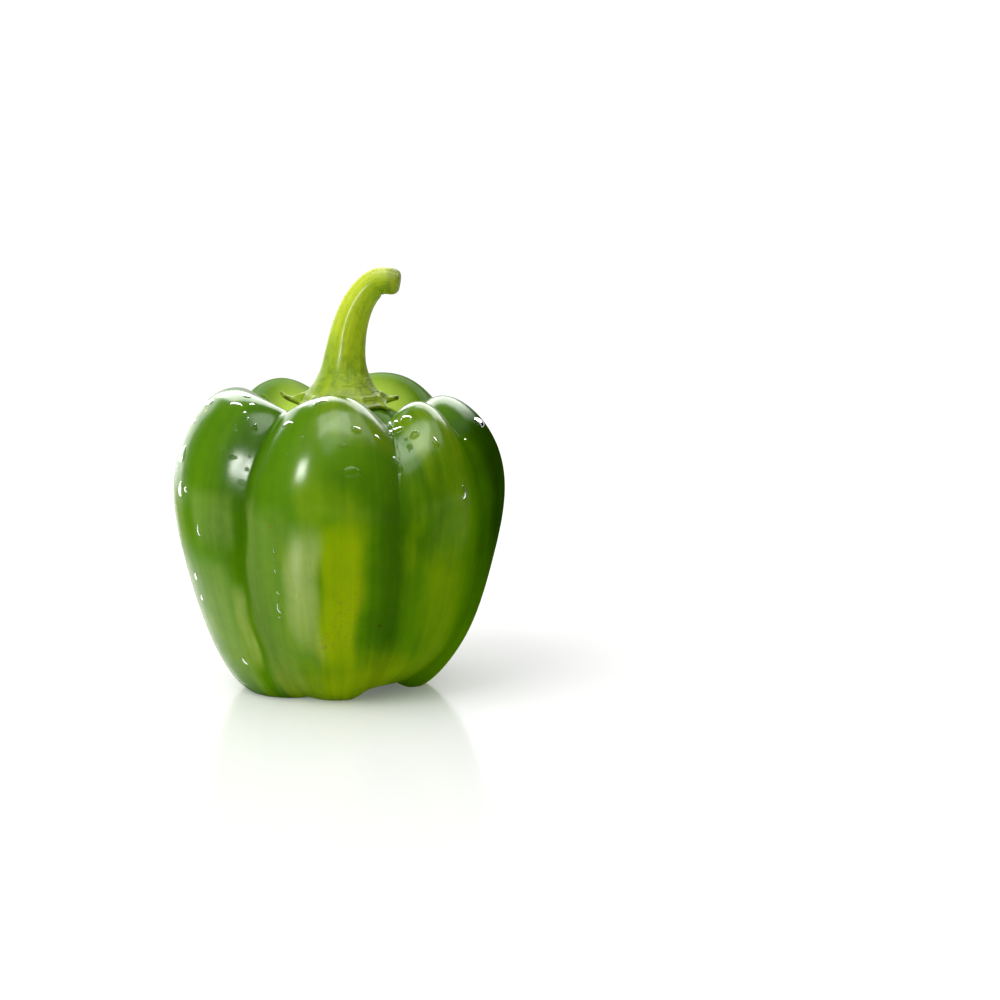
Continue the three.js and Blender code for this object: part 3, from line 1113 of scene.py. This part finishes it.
    def values(self, rings: StemRings) -> dict[str, Array]:
        """What the stalk's material reads at each point of the rings.

        Args:
            rings: The rings.

        Returns:
            One array for each name, (ring, column) or (ring, column, 3).
        """
        azimuth = self.azimuths()[None]
        angle = np.radians(azimuth)
        zone, share = rings.zone[:, None], rings.share[:, None]
        cut, stalk, top = (zone == kind.value for kind in (Zone.CUT, Zone.STALK, Zone.TOP))
        under = zone == Zone.UNDER.value
        height = np.where(stalk | cut, share, -0.25 * share)
        tips = smoother(self.tooth_sum(azimuth, "length") * share**4, 0.006, 0.03)
        # Painted shadow under the calyx's rim at the front right.
        rim_shadow = top * facing(azimuth, 40.0, 34.0) * smoother(share, 0.45, 0.75)
        # Painted light on the stalk's left side, which turns with the height.
        left = facing(azimuth, -60.0 - 25 * height, 42.0) * smoother(height, 0.2, 0.6)
        # Painted highlight near the cut end, on the left.
        painted_end_highlight = facing(azimuth, -62.0, 26.0) * bell(height, 0.88, 0.07)
        # Painted shade under the stalk's bend.
        below = stalk * facing(azimuth, 60.0, 60.0) * smoother(height, 0.62, 0.8)
        low = top * (1 - share) + stalk * (1 - smoother(height, 0.0, 0.16))
        foot = stalk * (1 - smoother(height, 0.08, 0.42)) + (top | under)
        # Painted shade on the stalk's right side.
        right = stalk * facing(azimuth, 60.0, 55.0)
        creased = stalk * self.crease(azimuth, share)
        dry_rim = (top | under) * (0.3 * tips + 0.25 * smoother(share, 0.85, 1.0))
        dry_end = (stalk * smoother(height, 0.88, 1.0) + cut) * facing(azimuth, -100.0, 75.0)
        # Painted light: the left side, the end highlight, and a lit line along the flare's right edge.
        pale = stalk * np.maximum(left, painted_end_highlight) + 0.9 * facing(azimuth, 84.0, 7.0) * low
        marks = {
            "pale": np.clip(pale, 0, 1),
            # Painted highlight along the fine ridge and near the cut end; the skin is also smoother there.
            "ridge": stalk * np.clip(self.ridge(azimuth, share) + 0.5 * painted_end_highlight, 0, 1),
            "foot": 0.75 * foot,
            # Painted shade: the right side, under the bend, in the crease and under the calyx rim.
            "shaded": np.clip(0.35 * right + 0.9 * below + creased + rim_shadow, 0, 1),
            # Painted light on the collar's front.
            "collar": top * facing(azimuth, 5.0, 40.0) * bell(share, 0.12, 0.2),
            # Brown of the dried calyx rim, tooth tips and cut end, with a share of the painted shadow under
            # the rim's front right.
            "dry": np.clip(dry_rim + 0.4 * rim_shadow, 0, 1) + 0.5 * dry_end,
            "cut": np.maximum(stalk * smoother(height, 0.86, 1.0), cut),
            "wrinkled": np.clip(stalk * bell(height, 0.03, 0.08) + 0.8 * below + top * (1 - share), 0, 1),
        }
        shape = rings.points.shape[:2]
        places = (np.sin(angle), -np.cos(angle), 0.2 * height)
        along = np.stack([np.broadcast_to(place, shape) for place in places], -1)
        return {"along": along} | {key: np.broadcast_to(mark, shape) for key, mark in marks.items()}

    def build(self) -> bpy.types.Object:
        """Makes the stem, dressed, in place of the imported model's stem.

        Returns:
            The object.
        """
        rings = self.rings()
        top = self.stalk(np.ones(1), np.zeros(1), np.array([self.cut_middle]))[0, 0]
        bottom = self.form.skin(0.0, 0.0) + np.array([0.0, 0.0, self.calyx_gap * MM])
        values = {
            key: pole_to_pole(value[0, :1], value, value[-1, -1:])
            for key, value in self.values(rings).items()
        }
        obj = join_surfaces("stalk_and_calyx", [RingSurface(top, rings.points, bottom, values)])
        obj.data.materials.append(self.finish.material())
        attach(obj, BODY)
        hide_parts("stem")
        return obj


class DropShape(Enum):
    """How a drop of water lies on the skin: a round bead, or a run with its weight at the bottom."""

    BEAD = "bead"
    RUN = "run"


@dataclass(frozen=True)
class Drop:
    """A drop: its place on the skin, its size across and down in millimetres, and its shape."""

    azimuth: float
    s: float
    across: float
    down: float
    shape: DropShape = DropShape.BEAD


@dataclass(frozen=True)
class WaterDrops:
    """Water left on the skin: placed drops at the front and a seeded scatter elsewhere."""

    form: PodForm
    placed: tuple[Drop, ...]
    scattered: int = 56
    scatter_azimuths: tuple[float, float] = (100.0, 290.0)
    scatter_s: tuple[float, float] = (0.33, 0.61)
    seed: int = 11
    sunk: float = 0.12
    columns: int = 20
    rows: int = 6
    finish: WaterFinish = WaterFinish()

    def scatter(self) -> list[Drop]:
        """Small drops in seeded places on the shoulders and upper wall, away from the front.

        Returns:
            The drops.
        """
        chance = np.random.default_rng(self.seed)
        azimuth = chance.uniform(*self.scatter_azimuths, self.scattered)
        high, low = self.scatter_s
        s = high + (low - high) * chance.random(self.scattered) ** 1.4
        across = 0.7 + 3.2 * chance.random(self.scattered) ** 3
        down = across * chance.uniform(0.7, 1.5, self.scattered)
        runs = down > 1.25 * across
        return [
            Drop(*row, shape=DropShape.RUN if run else DropShape.BEAD)
            for row, run in zip(np.stack([azimuth, s, across, down], -1).tolist(), runs.tolist())
        ]

    def surface(self, drop: Drop, number: int) -> RingSurface:
        """A drop as a cap on the skin.

        In the drop's own polar grid the outline is an ellipse with two slow waves, narrowed at the
        top for a run. The height over the skin is (1 - r squared) to the power 0.7, highest low down.

        Args:
            drop: The drop.
            number: Its number, which sets the waves of its outline.

        Returns:
            The closed surface.
        """
        turn = 2 * np.pi * np.arange(self.columns)[None] / self.columns
        r = (np.arange(1, self.rows + 1)[:, None] / self.rows) ** 0.8
        size = max(drop.across, drop.down)
        waves = 0.1 * np.sin(2 * turn + 1.7 * number) + 0.05 * np.sin(3 * turn + 2.9 * number)
        outline = 1 + waves * min(1.0, size / 2.5)
        x = 0.5 * drop.across * outline * r * np.cos(turn)
        y = 0.5 * drop.down * outline * r * np.sin(turn)
        if drop.shape is DropShape.RUN:
            x = x * (0.78 + 0.3 * np.clip(2 * y / drop.down, -1, 1))
        weight = 1 + (0.3 if drop.shape is DropShape.RUN else 0.12) * 2 * y / drop.down
        peak = 0.19 * min(drop.across, drop.down) ** 0.8
        height = peak * (1 - r**2) ** 0.7 * weight
        east, south, out = self.form.axes(np.array(drop.azimuth), np.array(drop.s))
        azimuth = drop.azimuth + x * MM / np.linalg.norm(east)
        s = drop.s + y * MM / np.linalg.norm(south)
        cap = self.form.skin(azimuth, s) + self.form.axes(azimuth, s)[2] * (height * MM)[..., None]
        middle = self.form.skin(drop.azimuth, drop.s)
        return RingSurface(middle + out * peak * MM, cap, middle - out * self.sunk * MM, {}, True)

    def build(self) -> bpy.types.Object:
        """Makes all drops as one object.

        Returns:
            The object.
        """
        drops = [*self.placed, *self.scatter()]
        obj = join_surfaces("water_drops", [self.surface(drop, number) for number, drop in enumerate(drops)])
        obj.data.materials.append(self.finish.material())
        obj.visible_shadow = False
        obj.visible_diffuse = False
        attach(obj, BODY)
        return obj


class LightRole(Enum):
    """What a studio light is for: to light the pepper, or only to be mirrored in its skin."""

    LAMP = "lamp"
    MIRRORED = "mirrored"


@dataclass(frozen=True)
class Softbox:
    """A studio light: its direction and distance from the pepper, its size and its brightness."""

    name: str
    azimuth: float
    elevation: float
    distance: float
    width: float
    height: float
    radiance: float
    role: LightRole

    def build(self, aim: Vector) -> bpy.types.Object:
        """Makes the light, turned to the aim and hidden from the camera.

        Args:
            aim: The point that it lights.

        Returns:
            The light.
        """
        azimuth, elevation = math.radians(self.azimuth), math.radians(self.elevation)
        level = math.cos(elevation)
        way = Vector((math.sin(azimuth) * level, -math.cos(azimuth) * level, math.sin(elevation)))
        light = bpy.data.lights.new(self.name, "AREA")
        light.shape = "RECTANGLE"
        light.size, light.size_y = self.width, self.height
        light.energy = self.radiance * math.pi * self.width * self.height
        obj = bpy.data.objects.new(self.name, light)
        obj.location = aim + way * self.distance
        obj.rotation_euler = way.to_track_quat("Z", "Y").to_euler()
        obj.visible_camera = False
        obj.visible_diffuse = self.role is LightRole.LAMP
        obj.visible_glossy = self.role is LightRole.MIRRORED
        obj.visible_transmission = False
        bpy.context.scene.collection.objects.link(obj)
        return obj


@dataclass(frozen=True)
class Studio:
    """White table, surroundings, lights and camera."""

    elevation: float = 9.5
    metres_per_pixel: float = 0.000278
    axis_column: float = 340
    ground_row: float = 682
    frame_pixels: float = 1000
    lens: float = 100
    sensor: float = 36
    table_size: float = 2.2
    backdrop: float = 1.05
    aim_height: float = 0.045
    lights: tuple[Softbox, ...] = (
        Softbox("key_left", -48, 46, 1.1, 0.9, 0.9, 2.6, LightRole.LAMP),
        Softbox("lamp_left", -37, 22, 0.8, 0.16, 0.16, 38, LightRole.MIRRORED),
        Softbox("window_above", 44, 58, 0.9, 1.5, 0.46, 3, LightRole.MIRRORED),
        Softbox("window_core", 12, 68, 0.9, 0.8, 0.5, 6, LightRole.MIRRORED),
        Softbox("bank_left", -146, 14, 1.1, 0.7, 0.8, 2.8, LightRole.MIRRORED),
        Softbox("bank_behind", 172, 44, 1.1, 1.4, 0.8, 9, LightRole.MIRRORED),
    )
    finish: TableFinish = TableFinish()

    def camera(self) -> bpy.types.Object:
        """Makes the camera, at the photograph's angle and framing.

        Returns:
            The camera.
        """
        tilt = math.radians(self.elevation)
        right = Vector((1, 0, 0))
        up = Vector((0, math.sin(tilt), math.cos(tilt)))
        ahead = Vector((0, math.cos(tilt), -math.sin(tilt)))
        middle = self.frame_pixels / 2
        aim = right * (middle - self.axis_column) + up * (self.ground_row - middle)
        distance = self.frame_pixels * self.lens / self.sensor
        place = (aim - ahead * distance) * self.metres_per_pixel
        data = bpy.data.cameras.new("camera")
        data.lens, data.sensor_width = self.lens, self.sensor
        data.clip_start, data.clip_end = 0.01, 50
        obj = bpy.data.objects.new("camera", data)
        obj.matrix_world = Matrix.Translation(place) @ Matrix((right, up, -ahead)).transposed().to_4x4()
        bpy.context.scene.collection.objects.link(obj)
        bpy.context.scene.camera = obj
        return obj

    def table(self) -> bpy.types.Object:
        """Makes the table top, a flat sheet at height 0.

        Returns:
            The sheet.
        """
        half = self.table_size / 2
        mesh = bpy.data.meshes.new("white_table")
        outline = [(-half, -half, 0), (half, -half, 0), (half, half, 0), (-half, half, 0)]
        mesh.from_pydata(outline, [], [(0, 1, 2, 3)])
        obj = bpy.data.objects.new("white_table", mesh)
        bpy.context.scene.collection.objects.link(obj)
        mesh.materials.append(self.finish.material())
        return obj

    def surroundings(self) -> None:
        """Sets the room's own light, which is white to the camera.

        The light that falls on things grows smoothly upwards and to the left. What the skin mirrors
        is dark, with a bright wall low behind the pepper.
        """
        world = bpy.data.worlds.new("studio_room")
        world.use_nodes = True
        shader = Shader(world.node_tree)
        way = shader.read("ShaderNodeTexCoord", {}, {}, "Generated")
        split = shader.node("ShaderNodeSeparateXYZ", {}, {0: way})
        x, y, z = (Value(shader, split.outputs[k]) for k in range(3))
        fill = 0.25 + 0.85 * shader.step(z * 0.6 - x * 0.7, -0.5, 0.8)
        mirrored = 0.01 + 0.95 * shader.step(y - x * 0.3, 0.6, 0.95) * (1.0 - shader.step(z, 0.35, 0.6))
        path = shader.node("ShaderNodeLightPath", {}, {})
        diffuse, camera = (Value(shader, path.outputs[name]) for name in ("Is Diffuse Ray", "Is Camera Ray"))
        strength = mirrored + diffuse * (fill - mirrored)
        room = shader.read("ShaderNodeBackground", {}, {"Color": grey(1.0), "Strength": strength})
        white = shader.read("ShaderNodeBackground", {}, {"Color": grey(1.0), "Strength": self.backdrop})
        mixed = shader.read("ShaderNodeMixShader", {}, {0: camera, 1: room, 2: white})
        shader.node("ShaderNodeOutputWorld", {}, {"Surface": mixed})
        bpy.context.scene.world = world

    def build(self) -> None:
        """Sets up the whole studio."""
        self.camera()
        self.table()
        self.surroundings()
        for light in self.lights:
            light.build(Vector((0.0, 0.0, self.aim_height)))
        bpy.context.scene.view_settings.view_transform = "Standard"


FRONT_DROPS = tuple(
    Drop(*row)
    for row in (
        (38.2, 0.311, 3.0, 3.3), (31.8, 0.326, 3.9, 3.4), (37.5, 0.35, 3.2, 2.4), (34.0, 0.349, 1.1, 1.3),
        (34.0, 0.366, 1.6, 2.1), (33.2, 0.373, 0.5, 0.6), (43.5, 0.376, 2.5, 3.3, DropShape.RUN),
        (34.5, 0.299, 1.1, 1.8), (26.8, 0.391, 3.7, 5.2, DropShape.RUN), (23.5, 0.425, 0.6, 0.5),
        (10.8, 0.357, 3.3, 2.0), (19.8, 0.356, 2.1, 1.2), (5.2, 0.383, 2.6, 1.1), (8.2, 0.417, 5.0, 2.6),
        (-5.2, 0.309, 4.4, 3.5), (-19.5, 0.345, 3.8, 1.8), (-16.5, 0.346, 0.7, 0.6),
        (-10.0, 0.372, 0.9, 0.8), (-10.0, 0.381, 0.6, 0.5), (-15.5, 0.395, 0.6, 0.5),
        (-3.8, 0.395, 0.5, 0.5), (-53.2, 0.32, 4.7, 1.7), (-46.5, 0.307, 1.6, 1.2),
        (-46.0, 0.329, 1.2, 1.1), (-43.0, 0.337, 1.2, 1.1), (-55.5, 0.289, 4.0, 1.8),
        (-38.2, 0.347, 2.2, 2.2, DropShape.RUN), (-46.2, 0.354, 0.9, 0.8), (-45.5, 0.36, 0.9, 0.8),
        (-43.0, 0.377, 1.4, 1.3), (-47.8, 0.392, 1.2, 1.1), (-42.8, 0.401, 2.3, 1.6),
        (-36.5, 0.394, 1.1, 1.1), (-36.5, 0.415, 1.4, 1.3), (-37.5, 0.436, 2.2, 2.1),
        (-35.2, 0.36, 0.8, 0.8), (-36.8, 0.372, 0.8, 0.8), (-75.8, 0.339, 5.0, 2.2),
        (-74.2, 0.369, 4.2, 1.6), (-69.5, 0.415, 4.2, 4.8, DropShape.RUN),
        (-66.2, 0.46, 3.5, 4.1, DropShape.RUN), (-62.0, 0.459, 2.2, 1.6),
        (-65.2, 0.574, 2.0, 2.5, DropShape.RUN), (-65.2, 0.602, 2.0, 1.7, DropShape.RUN),
        (-55.0, 0.508, 2.1, 3.3, DropShape.RUN), (-20.0, 0.521, 1.0, 1.9, DropShape.RUN),
        (-20.5, 0.534, 0.6, 0.6), (-20.0, 0.547, 1.3, 1.4), (-19.8, 0.575, 1.6, 1.4),
        (-20.0, 0.595, 2.5, 4.1, DropShape.RUN), (-20.8, 0.608, 1.0, 0.9), (-45.8, 0.688, 2.5, 2.1),
        (86.0, 0.358, 5.0, 3.8), (72.2, 0.363, 1.2, 0.8), (52.2, 0.455, 3.3, 3.7, DropShape.RUN),
    )
)


def main() -> None:
    logging.basicConfig(level=logging.INFO, format="%(name)s: %(message)s")
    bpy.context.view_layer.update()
    form = PodForm()
    for piece in (Fruit(form), Stem(form), WaterDrops(form, FRONT_DROPS)):
        obj = piece.build()
        LOG.info("%s has %d faces", obj.name, len(obj.data.polygons))
    Studio().build()
    LOG.info("studio is set")


if __name__ == "__main__":
    main()
